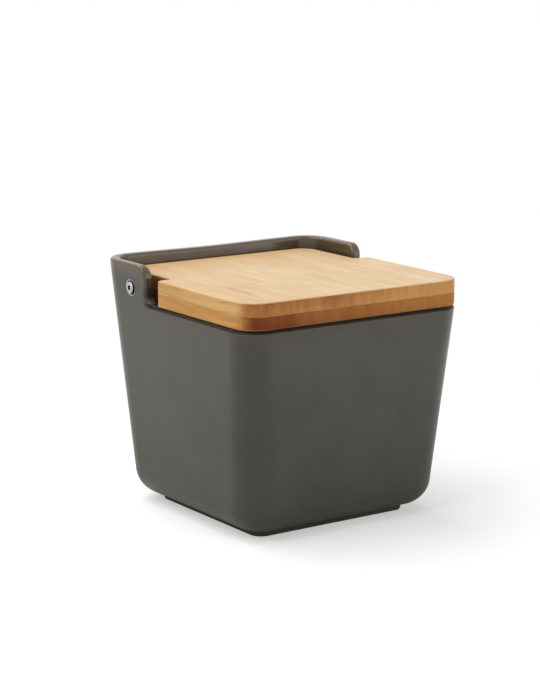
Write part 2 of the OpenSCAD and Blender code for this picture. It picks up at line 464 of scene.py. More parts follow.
def pot_shape():
    shape = Shape("pot_visual", POT_SIZES, sum(POT_COLUMNS))
    s = shape.s
    lip_r = s.wall * 0.5
    side = shape.column.sign()
    (front, front_corner, low_side, sweep, edge, shoulder, high_side, back_corner,
     back) = stages(shape.column.size(), POT_COLUMNS)

    def half_w(z):
        return s.rim_half_w + (z - s.rim_h) * s.taper

    def half_d(z):
        return s.rim_half_d + (z - s.rim_h) * s.taper

    def corner_at(z):
        return s.corner_r + s.corner_spread * (1.0 - z / s.rim_h)

    across = front - back
    turn = (front_corner + back_corner - 1.0) * QUARTER
    out_x = turn.cos()
    out_y = turn.sin()
    lean = (sweep - shoulder) * QUARTER

    # The lip's centre line, and the columns that fan out towards it
    low_lip_z = s.rim_h - lip_r
    high_lip_z = s.hood_h - lip_r
    ear_y = s.rim_half_d - s.hood_len
    swept = sweep * QUARTER
    over = (1.0 - shoulder) * QUARTER
    lip_z = (low_lip_z + (s.sweep_r + lip_r) * (1.0 - swept.cos())
             + edge * (s.hood_h - s.shoulder_r - s.rim_h - s.sweep_r)
             + (s.shoulder_r - lip_r) * over.cos() - s.hood_dip * eased(back))
    step_y = (s.sweep_r + lip_r) * swept.sin() + (s.shoulder_r - lip_r) * (1.0 - over.sin())
    low_start = half_d(low_lip_z) - corner_at(low_lip_z)
    high_end = half_d(high_lip_z) - corner_at(high_lip_z)
    lip_y = (low_side * (ear_y - s.sweep_r + low_start) - low_start + step_y
             + high_side * (high_end - ear_y - s.shoulder_r))
    lip_share = lip_y / (half_d(lip_z) - corner_at(lip_z))
    fan_end = half_d(s.fan_z) - corner_at(s.fan_z)
    fan_rise = (high_lip_z - low_lip_z) * FAN_LEAN
    fan_y = (low_side * (ear_y - s.sweep_r + fan_end) - fan_end + step_y
             + (lip_z - low_lip_z + s.hood_dip * eased(back)) * FAN_LEAN
             + high_side * (fan_end - ear_y - s.shoulder_r - fan_rise))
    fan_share = fan_y / fan_end

    def plan(share, width, depth, corner, inset):
        bend = (corner - inset).most(TIGHTEST_BEND)
        return (side * (across * (width - corner) + bend * out_x),
                share * (depth - corner) + bend * out_y)

    def wall(share, z, inset):
        return plan(share, half_w(z), half_d(z), corner_at(z), inset)

    def foot(inset):
        return plan(fan_share, half_w(s.foot_h) - s.foot_inset,
                    half_d(s.foot_h) - s.foot_inset, s.foot_corner_r, inset)

    def underside(row):
        middle, slope, ring, edge_round, rise, fillet = stages(row, UNDERSIDE_ROWS)
        slanted = eased(slope)
        rounded = edge_round * QUARTER
        filled = fillet * QUARTER
        inset = (s.foot_ring_w + s.foot_recess - slanted * s.foot_recess
                 - ring * (s.foot_ring_w - s.foot_edge_r) - s.foot_edge_r * rounded.sin()
                 - (1.0 - filled.cos()) * FOOT_FILLET)
        z = (s.foot_recess * (1.0 - slanted) + s.foot_edge_r * (1.0 - rounded.cos())
             + rise * (s.foot_h - s.foot_edge_r - FOOT_FILLET) + filled.sin() * FOOT_FILLET)
        x, y = foot(inset)
        return x * middle, y * middle, z

    def base(row):
        share = row / float(BASE_ROWS)
        x0, y0 = foot(-FOOT_FILLET)
        x1, y1 = wall(fan_share, s.foot_h, s.base_r)
        return mix(x0, x1, share), mix(y0, y1, share), s.foot_h

    def outside(row):
        rounded, rise, fan = stages(row, OUTSIDE_ROWS)
        angle = rounded * QUARTER
        level = (s.foot_h + s.base_r * (1.0 - angle.cos())
                 + rise * (s.fan_z - s.foot_h - s.base_r))
        z = mix(level, lip_z, fan)
        x, y = wall(mix(fan_share, lip_share, fan), z, s.base_r * (1.0 - angle.sin()))
        return x, y, z

    def lip(row):
        rise, outer_round, flat, inner_round, drop = stages(row, LIP_ROWS)
        angle = (outer_round + inner_round) * QUARTER
        x, y = wall(lip_share, lip_z, lip_r)
        steep = 1.0 / (s.taper * s.taper + 1.0).power(0.5)
        out = (lip_r - s.lip_edge) * (1.0 - flat * 2.0) + s.lip_edge * angle.cos()
        up = (lip_r - s.lip_edge) * (rise - drop) + s.lip_edge * angle.sin()
        tilt = up * lean.cos() * steep
        return (x + side * out_x * (out + tilt * s.taper),
                y + out_y * (out + tilt * s.taper) - up * lean.sin(),
                lip_z + tilt)

    def inside(row):
        fan, drop, rounded, floor = stages(row, INSIDE_ROWS)
        angle = (1.0 - rounded) * QUARTER
        level = (s.fan_z - drop * (s.fan_z - s.floor_z - s.inner_base_r)
                 - s.inner_base_r * angle.cos())
        z = mix(level, lip_z, 1.0 - fan)
        x, y = wall(mix(lip_share, fan_share, fan), z,
                    s.wall + s.inner_base_r * (1.0 - angle.sin()))
        return x * (1.0 - floor), y * (1.0 - floor), z

    def lip_mark(spot):
        return {"lip": near(lip_z - spot[2], LIP_FADE)}

    def inner_mark(spot):
        return {**lip_mark(spot), "inner": 1.0}

    shape.band(sum(UNDERSIDE_ROWS), underside)
    shape.band(BASE_ROWS, base)
    shape.band(sum(OUTSIDE_ROWS), outside, lip_mark)
    shape.band(sum(LIP_ROWS), lip, lip_mark)
    shape.band(sum(INSIDE_ROWS), inside, inner_mark)
    return shape


# Faces round the ears' holes and the pilot holes, and the steps of a hole's rounded edge
HOLE_SIDES = 64
PILOT_SIDES = 40
HOLE_ROUND_STEPS = 8

# How far a cutter reaches past the face that it opens
CUT_PAST = 1.0 * MM


def ear_cutter():
    """A bar through both ears that flares out at the faces, so that the holes' edges round."""
    face = POT_SIZES["rim_half_w"] + (HINGE.z - RIM_H) * TAPER

    # How far along the axis and how thick, from between the ears to past the outer face
    profile = [(POT_HIGH.x - 2.5 * WALL, EAR_HOLE_R)]
    for depth, flip in ((face - WALL, -1), (face, 1)):
        steps = range(HOLE_ROUND_STEPS + 1)
        for i in steps if flip > 0 else reversed(steps):
            angle = QUARTER * i / HOLE_ROUND_STEPS
            profile.append((depth - flip * EAR_HOLE_ROUND * (1 - math.sin(angle)),
                            EAR_HOLE_R + EAR_HOLE_ROUND * (1 - math.cos(angle))))
    profile.append((face + CUT_PAST, EAR_HOLE_R + EAR_HOLE_ROUND))
    mesh = bmesh.new()
    rings = []
    for x, r in [(-x, r) for x, r in reversed(profile)] + profile:
        side = math.copysign(1.0, x)
        ring = []
        for i in range(HOLE_SIDES):
            angle = math.tau * i / HOLE_SIDES
            rise = r * math.sin(angle)
            ring.append(mesh.verts.new((x + side * rise * TAPER, HINGE.y + r * math.cos(angle),
                                        HINGE.z + rise)))
        rings.append(ring)
    for low, high in zip(rings, rings[1:]):
        for i in range(HOLE_SIDES):
            j = (i + 1) % HOLE_SIDES
            mesh.faces.new((low[i], low[j], high[j], high[i]))
    mesh.faces.new(rings[0][::-1])
    mesh.faces.new(rings[-1])
    return solid("ear_cutter", mesh)


# The lid's plies

# Steps from the front's middle to the back's middle: half the front, its corner, the side,
# the notch's outer corner, its edge, its inner corner, the tongue's side, its corner and
# half the tongue's back
LID_COLUMNS = (14, 20, 24, 8, 3, 6, 16, 14, 14)

# Rows from the middle of a ply's underside, over its two rounds, to the middle of its top
PLY_ROWS = (8, 6, 6, 8, 8)


def ply_shape(name, low, high, low_edge, high_edge):
    """One ply from height low to high, with its two edges rounded to the radii given."""
    heights = {"low": low, "high": high, "low_edge": low_edge, "high_edge": high_edge}
    shape = Shape(name, {**LID_SIZES, **heights}, sum(LID_COLUMNS))
    s = shape.s
    side = shape.column.sign()

    def outline(inset):
        front, corner, flank, outer, edge, inner, tongue, back_corner, back = LID_COLUMNS
        moves = [
            (s.half_w - s.corner_r, None, front),
            (s.corner_r - inset, QUARTER, corner),
            (s.notch_y - s.notch_outer_r - s.front_y - s.corner_r, None, flank),
            (s.notch_outer_r - inset, QUARTER, outer),
            (s.half_w - s.notch_outer_r - s.tongue_half_w - s.notch_inner_r, None, edge),
            (s.notch_inner_r + inset, -QUARTER, inner),
            (s.tongue_y - s.tongue_corner_r - s.notch_y - s.notch_inner_r, None, tongue),
            (s.tongue_corner_r - inset, QUARTER, back_corner),
            (s.tongue_half_w - s.tongue_corner_r, None, back),
        ]
        u, v = shape.walk(shape.column.size(), (0.0, s.front_y + inset), 0.0, moves)
        return side * u, v

    def board(row):
        bottom, low_round, rise, high_round, top = stages(row, PLY_ROWS)
        low_turn = low_round * QUARTER
        high_turn = high_round * QUARTER
        inset = s.low_edge * (1.0 - low_turn.sin()) + s.high_edge * (1.0 - high_turn.cos())
        x, y = outline(inset)
        shrink = bottom - top
        z = (s.low + s.low_edge * (1.0 - low_turn.cos())
             + rise * (s.high - s.low - s.low_edge - s.high_edge)
             + s.high_edge * high_turn.sin())
        return x * shrink, y * shrink, z

    shape.band(sum(PLY_ROWS), board)
    return shape


def pilot_cutter():
    """The two holes that the screws are driven into, as bars on the hinge axis."""
    mesh = bmesh.new()
    end = LID_SIZES["tongue_half_w"] + CUT_PAST
    tip = SCREW_LOW.x - CUT_PAST
    for side in (-1, 1):
        made = bmesh.ops.create_cone(mesh, cap_ends=True, segments=PILOT_SIDES,
                                     radius1=PILOT_R, radius2=PILOT_R, depth=end - tip)
        for corner in made["verts"]:
            x, y, z = corner.co
            corner.co = (side * ((end + tip) / 2 + z), HINGE.y + side * y, HINGE.z + x)
    return solid("pilot_cutter", mesh)


# The hinge screws and their sleeves

# Columns of faces round half of a sleeve or of a screw
HALF_ROUND_COLUMNS = 24

# Rows of a screw: the flat of its head, the crown, the rim, the underside, the plain shank,
# the thread and the point
SCREW_ROWS = (4, 9, 3, 5, 5, 130, 36)

# How much narrower the cross recess is at its floor, along an arm and across it
CROSS_TAPER_ALONG = 0.55
CROSS_TAPER_ACROSS = 0.25
CROSS_TURN = math.radians(-30)


def on_hinge(shape, made, side):
    """Lays a shape that points along +Z on the hinge axis, pointing out of one ear."""
    return shape.node("GeometryNodeTransform", Geometry=made, Translation=(0.0, *HINGE.yz),
                      Rotation=(0.0, side * QUARTER, 0.0)).outputs[0]


def turned(shape, radius, height):
    """The place of a point that goes round the axis once over the columns."""
    angle = shape.column * (math.pi / shape.columns)
    return radius * angle.cos(), radius * angle.sin(), height


def sleeve_shape(name, side):
    shape = Shape(name, SLEEVE_SIZES, HALF_ROUND_COLUMNS)
    s = shape.s
    length = s.outer_end - s.inner_end - s.edge_r * 2.0
    width = s.outer_r - s.bore_r - s.edge_r * 2.0
    edge_round = (s.edge_r, QUARTER, 5)
    half_way = [(width, None, 4), edge_round, (length, None, 6), edge_round]
    moves = half_way * 2

    def bush(row):
        radius, height = shape.walk(row, (s.bore_r + s.edge_r, s.inner_end), 0.0, moves)
        return turned(shape, radius, height)

    shape.band(sum(rows for _, _, rows in moves), bush)
    return shape, on_hinge(shape, shape.skin(), side)


def screw_shape(name, side):
    shape = Shape(name, SCREW_SIZES, HALF_ROUND_COLUMNS)
    s = shape.s

    def profile(row):
        flat, crown, rim, under, plain, thread, point = stages(row, SCREW_ROWS)
        over = crown * QUARTER
        run = s.length - s.plain - s.point
        height = (s.head_h - s.crown * (1.0 - over.cos()) - rim * (s.head_h - s.crown)
                  - plain * s.plain - thread * run - point * s.point)
        core = mix(s.shank_r, s.core_r, (thread * 8.0).clamped()) * (1.0 - point.power(1.6))

        # The thread climbs a pitch for each turn, and fades in at the shank and out at the point
        turn = shape.column * (0.5 / shape.columns)
        wave = (height / s.pitch - turn).part() - 0.5
        crest = (1.0 - wave.size() * 3.2).clamped()
        ridge = (s.shank_r - s.core_r) * crest * (thread * 6.0).clamped()
        radius = (flat * (s.head_r - s.crown) + s.crown * over.sin()
                  - under * (s.head_r - core)
                  + ridge * (1.0 - point * 0.9) * (1.0 - point.power(8.0)))
        return turned(shape, radius, height)

    shape.band(sum(SCREW_ROWS), profile)
    body = shape.skin()
    arms = []
    for angle in (CROSS_TURN, CROSS_TURN + QUARTER):
        bar = shape.node("GeometryNodeMeshCube",
                         Size=shape.place(s.cross_len, s.cross_w, s.cross_depth * 2.0))
        for key in ("Vertices X", "Vertices Y", "Vertices Z"):
            bar.inputs[key].default_value = 2
        low = 0.5 - shape.rise / (s.cross_depth * 2.0)
        tapered = shape.node("GeometryNodeSetPosition", Geometry=bar, Position=shape.place(
            shape.column * (1.0 - low * CROSS_TAPER_ALONG),
            shape.row * (1.0 - low * CROSS_TAPER_ACROSS), shape.rise))
        arms.append(shape.node("GeometryNodeTransform", Geometry=tapered,
                               Translation=shape.place(0.0, 0.0, s.head_h),
                               Rotation=(0.0, 0.0, angle)).outputs[0])
    crossed = shape.node("GeometryNodeMeshBoolean", {"operation": "DIFFERENCE", "solver": "EXACT"})
    shape.tree.links.new(body, crossed.inputs[0])
    for arm in arms:
        shape.tree.links.new(arm, crossed.inputs[1])
    raised = shape.node("GeometryNodeTransform", Geometry=crossed.outputs[0],
                        Translation=shape.place(0.0, 0.0, s.head_x))
    return shape, on_hinge(shape, raised.outputs[0], side)


# Finishes

class Finish:
    """A material whose pattern lies in the piece's own space."""

    def __init__(self, name, **plain):
        self.material = bpy.data.materials.new(name)
        self.material.use_nodes = True
        self.tree = self.material.node_tree
        self.shader = self.tree.nodes["Principled BSDF"]
        for key, value in plain.items():
            self.shader.inputs[key.replace("_", " ")].default_value = value
        self.coordinates = self.tree.nodes.new("ShaderNodeTexCoord")
        self.x, self.y, self.z = self.split(self.coordinates.outputs["Object"])

    def split(self, vector):
        node = self.tree.nodes.new("ShaderNodeSeparateXYZ")
        self.tree.links.new(vector, node.inputs[0])
        return [Formula(self.tree, out) for out in node.outputs]

    def join(self, x, y, z):
        node = self.tree.nodes.new("ShaderNodeCombineXYZ")
        for entry, value in zip(node.inputs, (x, y, z)):
            feed(self.tree, entry, value)
        return node.outputs[0]

    def facing(self):
        """The surface's own direction, as three shares."""
        return self.split(self.coordinates.outputs["Normal"])

    def noise(self, size, detail=2.0, roughness=0.5, stretch=(1, 1, 1), shift=(0, 0, 0),
              vector=None):
        """Cloudy noise from 0 to 1, whose spots are about as large as size."""
        placed = self.tree.nodes.new("ShaderNodeMapping")
        self.tree.links.new(vector or self.coordinates.outputs["Object"], placed.inputs[0])
        placed.inputs["Scale"].default_value = [1 / (size * along) for along in stretch]
        placed.inputs["Location"].default_value = shift
        node = self.tree.nodes.new("ShaderNodeTexNoise")
        self.tree.links.new(placed.outputs[0], node.inputs["Vector"])
        node.inputs["Scale"].default_value = 1.0
        node.inputs["Detail"].default_value = detail
        node.inputs["Roughness"].default_value = roughness
        return Formula(self.tree, node.outputs[0])

    def chance(self, value):
        """A random number from 0 to 1 for each value."""
        node = self.tree.nodes.new("ShaderNodeTexWhiteNoise")
        node.noise_dimensions = "1D"
        feed(self.tree, node.inputs["W"], value)
        return Formula(self.tree, node.outputs["Value"])

    def kept(self, name):
        """A value kept with the mesh."""
        node = self.tree.nodes.new("ShaderNodeAttribute")
        node.attribute_name = name
        return Formula(self.tree, node.outputs["Fac"])

    def mix(self, share, a, b):
        """A colour between a and b. A Mix node has its two colours in places 6 and 7, and
        gives out a colour in place 2."""
        node = self.tree.nodes.new("ShaderNodeMix")
        node.data_type = "RGBA"
        feed(self.tree, node.inputs[0], share)
        feed(self.tree, node.inputs[6], a)
        feed(self.tree, node.inputs[7], b)
        return node.outputs[2]

    def bump(self, *layers):
        """Relief in layers, each a height from 0 to 1 and its depth in metres."""
        last = None
        for height, depth in layers:
            node = self.tree.nodes.new("ShaderNodeBump")
            node.inputs["Strength"].default_value = 1.0
            node.inputs["Distance"].default_value = depth
            feed(self.tree, node.inputs["Height"], height)
            feed(self.tree, node.inputs["Normal"], last)
            last = node.outputs[0]
        self.set("Normal", last)

    def set(self, key, value):
        feed(self.tree, self.shader.inputs[key], value)


GLAZE_DEEP = (0.061, 0.058, 0.041, 1)
GLAZE_PALE = (0.079, 0.075, 0.056, 1)
GLAZE_BROWN = (0.128, 0.091, 0.048, 1)
GLAZE_RIM = (0.072, 0.059, 0.041, 1)
GLAZE_INSIDE = (0.066, 0.054, 0.034, 1)
# Painted shade for the upright corners
GLAZE_CORNER_SHADE = (0.036, 0.035, 0.026, 1)
# Painted shade, for the gap under the lid and the lip where it climbs
GLAZE_PAINTED_SHADE = (0.012, 0.006, 0.004, 1)
BARE_CLAY = (0.42, 0.36, 0.29, 1)

# The lip breaks to brown over this height above the low rim
BROWN_REACH = 6 * MM

# A painted shadow on the rim under the lid, where the gap is, and painted shade on the lip where
# it climbs the ears
SEAT_HALF = 0.85 * MM
SEAT_FADE = 0.4 * MM
CLIMB_MIDDLE = 4 * MM
CLIMB_REACH = 6 * MM

# The foot is bare clay underneath, and the glaze starts over the fade below this height
BARE_TOP = 0.3 * MM
BARE_FADE = 0.15 * MM


def glaze_finish():
    """A dark glaze that breaks to brown on the hood's lip, with painted shade down the upright
    corners and where the lip climbs, a painted shadow where the lid rests, and bare clay
    underfoot."""
    finish = Finish("dark_satin_glaze", IOR=1.5)
    clouds = finish.noise(16 * MM, detail=3.0, roughness=0.55)
    flecks = finish.noise(0.9 * MM, detail=2.0, shift=(3.1, 0.7, 5.3))
    pools = finish.noise(34 * MM, detail=2.0, shift=(7.0, 2.0, 1.0))
    nx, ny, nz = finish.facing()
    inner = finish.kept("inner")
    lip = finish.kept("lip")

    # The body, by the outside, the upright corners with painted shade, and the inside
    tone = ((clouds - 0.5) * 1.6 + (pools - 0.5) * 1.2 + (flecks - 0.5) * 0.5 + 0.45).clamped()
    body = finish.mix(tone, GLAZE_DEEP, GLAZE_PALE)
    # Painted shade down the upright corners
    painted_corner_shade = (nx * ny).size() * 2.0
    body = finish.mix((painted_corner_shade * 0.42).clamped(), body, GLAZE_CORNER_SHADE)
    # The inside is browner, by the glaze's own tone and by a painted warm reflection of the lid
    body = finish.mix(inner * 0.7, body, GLAZE_INSIDE)

    # The lip
    high = rising(finish.z, RIM_H, BROWN_REACH)
    lip_tone = finish.mix(high, GLAZE_RIM, GLAZE_BROWN)
    glazed = finish.mix((lip * (0.4 + clouds * 1.0)).clamped(), body, lip_tone)
    # Painted shadow along the rim where the lid's gap is, and painted shade on the lip where it
    # climbs; the shine is lowered there as well
    painted_gap_shadow = near((RIM_H - finish.z).size() - SEAT_HALF, SEAT_FADE) * lip
    painted_ear_shade = near((finish.z - RIM_H - CLIMB_MIDDLE).size(), CLIMB_REACH) * 0.6
    flat_top = rising(nz, 0.88, 0.1)
    painted_shade = (painted_gap_shadow.most(painted_ear_shade * lip.power(3.0)) * (1.2 - flat_top * 0.9)).clamped()
    glazed = finish.mix(painted_shade, glazed, GLAZE_PAINTED_SHADE)

    bare = falling(finish.z, BARE_TOP, BARE_FADE)
    finish.set("Base Color", finish.mix(bare, glazed, BARE_CLAY))
    finish.set("Specular IOR Level", 0.5 - painted_shade * 0.35)
    finish.set("Roughness", (0.31 - lip * high * 0.12 - inner * 0.08
                             + (clouds - 0.5) * 0.12 + bare * 0.5).clamped())
    finish.bump((finish.noise(11 * MM, detail=1.0, shift=(1.3, 4.1, 2.2)), 0.10 * MM),
                (finish.noise(0.7 * MM, detail=1.0), 0.006 * MM))
    return finish.material


BOARD_T = UPPER_HIGH.z - LOWER_LOW.z
GLUE_Z = LOWER_HIGH.z
GLUE_HALF = 0.45 * MM
PALE_EDGE = (0.50, 0.33, 0.20, 1)

# Where the lid's face starts to grow warmer, towards the back and towards the left, and the
# reach over which it does
WARM_FROM_Y = 5 * MM
WARM_REACH_Y = 45 * MM
WARM_FROM_X = -10 * MM
WARM_REACH_X = 50 * MM

# A brown streak that shows on top of the lid, near its left edge
STREAK_AT = (-44.0 * MM, -27.0 * MM)
STREAK_REACH = (3.2 * MM, 20.0 * MM)

# Painted light: the end grain grows lighter from the left, over this width
PAINTED_LIGHT_FROM_X = -54 * MM
PAINTED_LIGHT_REACH_X = 104 * MM

# The lid is paler along its lowest edge, and painted shade darkens the sides of its notches and of
# its tongue
PALE_EDGE_TOP = LOWER_LOW.z + 0.45 * MM
PALE_EDGE_FADE = 0.35 * MM
PAINTED_SHADE_FROM_Y = LID_SIZES["notch_y"] - 0.6 * MM
PAINTED_SHADE_FADE = 1.2 * MM


def scaled(colour, *shares):
    """A colour with its three parts made larger or smaller."""
    return tuple(part * share for part, share in zip(colour, shares)) + (1,)


def bamboo_grain(finish, seed, stave_w, joint_x):
    """The staves, and the patterns that run along them, each from 0 to 1."""
    count = (finish.x - joint_x) / stave_w
    stave = count.whole()
    tone = finish.chance(stave + seed)
    other = finish.chance(stave + seed + 40.5)
    sway = finish.noise(30 * MM, detail=1.0, shift=(seed, 2.0, 1.0)) - 0.5

    # Each stave takes its streaks from another place far off, and they sway a little
    swayed = finish.join(finish.x + tone * 0.7 + sway * 4 * MM, finish.y + other * 0.5,
                         finish.z + seed * 0.01 + sway * 5 * MM)

    def streaks(size, stretch, detail=2.0, roughness=0.5):
        return finish.noise(size, detail, roughness, stretch, vector=swayed)

    return SimpleNamespace(
        tone=tone,
        sway=sway,
        seam=near(((count + 0.5).part() - 0.5).size(), 0.01),
        fine=streaks(0.55 * MM, (1, 70, 1), roughness=0.6),
        strand=streaks(1.9 * MM, (1, 26, 0.9)),
        broad=streaks(7 * MM, (1, 7, 0.7)),
        dots=streaks(0.5 * MM, (1, 40, 1.6), detail=1.0),
        blocks=streaks(3.2 * MM, (1, 30, 3.0), detail=1.0),
        clouds=finish.noise(17 * MM, detail=2.0, roughness=0.6, shift=(4.0, seed, 0.0)))


def bamboo_face(finish, grain, face):
    """The top and the underside, with a faint blush and one brown streak."""
    streak = ((grain.fine - 0.5) * 0.7 + (grain.strand - 0.5) * 1.3 + (grain.broad - 0.5) * 1.1
              + (grain.clouds - 0.5) * 1.0 + (grain.tone - 0.5) * 0.12 + 0.42).clamped()
    tone = finish.mix(streak, face, scaled(face, 0.84, 0.72, 0.56))
    rear = rising(finish.y, WARM_FROM_Y, WARM_REACH_Y)
    left = falling(finish.x, WARM_FROM_X, WARM_REACH_X)
    warm = finish.mix(streak, scaled(face, 0.90, 0.80, 0.66), scaled(face, 0.76, 0.58, 0.38))
    tone = finish.mix((rear + left * 0.4).clamped(), tone, warm)
    blush = ((grain.clouds - 0.45) * 3.0 + (grain.broad - 0.5) * 2.0).clamped()
    tone = finish.mix(blush * 0.34, tone, scaled(face, 0.98, 0.80, 0.78))
    off_x = (finish.x - STREAK_AT[0] + grain.sway * 6 * MM) / STREAK_REACH[0]
    off_y = (finish.y - STREAK_AT[1]) / STREAK_REACH[1]
    scar = (1.0 - off_x * off_x - off_y * off_y).clamped()
    scar = scar * (grain.strand * 2.2 - 0.4).clamped()
    return finish.mix(scar * 0.8, tone, scaled(face, 0.76, 0.54, 0.40))


def bamboo_flank(finish, grain, flank):
    """The left and right sides, whose streaks run along the board."""
    band = ((grain.strand - 0.5) * 2.8 + (grain.broad - 0.5) * 2.0 + (grain.fine - 0.5) * 1.0
            + 0.42).clamped()
    return finish.mix(band, flank, scaled(flank, 0.82, 0.72, 0.58))


def bamboo_end(finish, grain, end, rise, joint_x, first_dark):
    """The end grain at the front and back, with the staves in their own tones, and painted light
    that grows from the left.
    """
    depth = ((finish.z - GLUE_Z) / (BOARD_T / 2)).size()
    # Painted light across the end grain, growing from the left
    across = rising(finish.x, PAINTED_LIGHT_FROM_X, PAINTED_LIGHT_REACH_X)
    first = finish.x.under(joint_x) * first_dark
    light = (across.power(0.75) * 0.75 + (grain.tone - 0.5) * 0.22 + (grain.blocks - 0.5) * 0.55
             + (grain.dots - 0.5) * 0.45 + (1.0 - depth) * rise - first + 0.12).clamped()
    return finish.mix(light, scaled(end, 0.42, 0.22, 0.08), scaled(end, 1.02, 1.14, 1.16))


def bamboo_finish(name, seed, stave_w, joint_x, face, flank, end, rise, first_dark):
    """Bamboo whose staves lie along Y. The face, the flanks and the end grain take the oil
    differently. A joint lies at joint_x, and the staves to its left are darker by first_dark.
    The end grain grows lighter by rise from the board's faces towards the glue."""
    finish = Finish(name, IOR=1.45, Specular_IOR_Level=0.25)
    nx, ny, nz = [share.size() for share in finish.facing()]
    grain = bamboo_grain(finish, seed, stave_w, joint_x)
    end_tone = bamboo_end(finish, grain, end, rise, joint_x, first_dark)
    side_tone = finish.mix(eased(rising(ny, 0.25, 0.6)), bamboo_flank(finish, grain, flank),
                           end_tone)
    whole = finish.mix(eased(rising(nz, 0.35, 0.5)), side_tone, bamboo_face(finish, grain, face))

    # The joints between the staves, the glue line, the paler lowest edge and the painted shade of
    # the notches
    joint = (grain.seam * 0.22 * (1.0 - nx)).clamped()
    whole = finish.mix(joint, whole, scaled(end, 0.5, 0.4, 0.3))
    glued = near((finish.z - GLUE_Z).size(), GLUE_HALF)
    whole = finish.mix(glued * 0.18, whole, scaled(end, 0.6, 0.5, 0.4))
    # Paler along the lid's lowest edge
    pale_low_edge = falling(finish.z, PALE_EDGE_TOP, PALE_EDGE_FADE) * (1.0 - nz)
    whole = finish.mix((pale_low_edge * 0.45).clamped(), whole, PALE_EDGE)
    # Painted shade on the sides of the notches and of the tongue
    painted_notch_shade = rising(finish.y, PAINTED_SHADE_FROM_Y, PAINTED_SHADE_FADE) * (1.0 - nz)
    whole = finish.mix((painted_notch_shade * 0.75).clamped(), whole, scaled(end, 0.16, 0.13, 0.10))
    finish.set("Base Color", whole)
    finish.set("Roughness", (0.40 + (grain.fine - 0.5) * 0.25 + ny * 0.14).clamped())
    finish.bump((grain.fine, 0.03 * MM), (grain.seam, -0.04 * MM))
    return finish.material


STEEL_DULL = (0.42, 0.41, 0.39, 1)
STEEL_BRIGHT = (0.62, 0.61, 0.58, 1)
# Painted shade for the recess and the side of the head
STEEL_PAINTED_SHADE = (0.02, 0.019, 0.017, 1)

# The head carries painted shade from this depth on, within this radius, which takes in its recess
SHADE_DEPTH = 0.06 * MM
SHADE_FADE = 0.1 * MM
SHADE_R = 2.1 * MM


def steel_finish():
    """Steel with painted shade in the cross recess and round the side of the head."""
    finish = Finish("bright_steel", Metallic=1.0, IOR=2.5)
    turned_marks = finish.noise(0.12 * MM, detail=1.0, stretch=(1, 8, 8))
    stains = finish.noise(0.8 * MM, detail=2.0)
    clean = finish.mix(stains, STEEL_DULL, STEEL_BRIGHT)
    below = SCREW_HIGH.x - finish.x.size()
    off_y = finish.y - HINGE.y
    off_z = finish.z - HINGE.z
    painted_recess_shade = (rising(below, SHADE_DEPTH, SHADE_FADE)
                 * (off_y * off_y + off_z * off_z).under(SHADE_R ** 2))
    # Painted shade round the side of the head, as well as in the recess
    steep = falling(finish.facing()[0].size(), 0.55, 0.25)
    finish.set("Base Color", finish.mix(painted_recess_shade.most(steep), clean, STEEL_PAINTED_SHADE))
    finish.set("Roughness", 0.3 + stains * 0.12)
    finish.bump((turned_marks, 0.004 * MM))
    return finish.material


NYLON_BLACK = (0.012, 0.012, 0.012, 1)
NYLON_GREY = (0.022, 0.021, 0.02, 1)


def nylon_finish():
    """Black nylon with a fine moulded grain."""
    finish = Finish("black_nylon", IOR=1.5)
    grain = finish.noise(0.25 * MM, detail=2.0)
    finish.set("Base Color", finish.mix(grain, NYLON_BLACK, NYLON_GREY))
    finish.set("Roughness", 0.45 + grain * 0.12)
    finish.bump((grain, 0.006 * MM))
    return finish.material


# The pieces, each riding on the body of the node that it stands for

def seat(piece, node, body):
    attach(piece, body)
    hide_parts(node)


glaze = glaze_finish()
pot_plan = pot_shape()
pot = cut(pot_plan.build(pot_plan.skin(), glaze), ear_cutter())
seat(pot, "pot", "box")

light_bamboo = bamboo_finish(
    "bamboo_light", seed=3.0, stave_w=18.5 * MM, joint_x=-39.3 * MM,
    face=(0.88, 0.66, 0.385, 1), flank=(0.79, 0.47, 0.178, 1), end=(0.74, 0.33, 0.095, 1),
    rise=0.25, first_dark=0.0)
dark_bamboo = bamboo_finish(
    "bamboo_dark", seed=11.0, stave_w=24.6 * MM, joint_x=-35.2 * MM,
    face=(0.70, 0.42, 0.19, 1), flank=(0.72, 0.37, 0.106, 1), end=(0.52, 0.182, 0.037, 1),
    rise=0.22, first_dark=0.32)
PLIES = (
    ("upper", UPPER_LOW.z, UPPER_HIGH.z, GLUE_EDGE_R, LID_TOP_R, light_bamboo),
    ("lower", LOWER_LOW.z, LOWER_HIGH.z, LID_UNDER_R, GLUE_EDGE_R, dark_bamboo),
)
for which, low, high, low_edge, high_edge, bamboo in PLIES:
    ply = ply_shape("lid_" + which + "_visual", low, high, low_edge, high_edge)
    board = cut(ply.build(ply.skin(), bamboo), pilot_cutter())
    seat(board, "lid_" + which + "_ply", "lid")

nylon = nylon_finish()
steel = steel_finish()
for side, hand in ((-1, "left"), (1, "right")):
    sleeve, made = sleeve_shape(hand + "_sleeve_visual", side)
    seat(sleeve.build(made, nylon), hand + "_hinge_sleeve", "box")
    screw, made = screw_shape(hand + "_screw_visual", side)
    seat(screw.build(made, steel), hand + "_hinge_screw", "lid")


# The floor, the light and the camera

# The floor keeps the box's shadow near the middle, and turns plain white further out. What
# the camera sees of it is lifted a little, so that it shows as pale as the rest
FLOOR_REACH = 8.0
FLOOR_TONE = (0.86, 0.86, 0.86, 1)
FLOOR_LIFT = 0.42
WHITE_FROM = 0.12
WHITE_FADE = 0.20
SEEN_RAYS = ("Is Camera Ray", "Is Transmission Ray")
PICTURE_RAYS = SEEN_RAYS + ("Is Glossy Ray",)


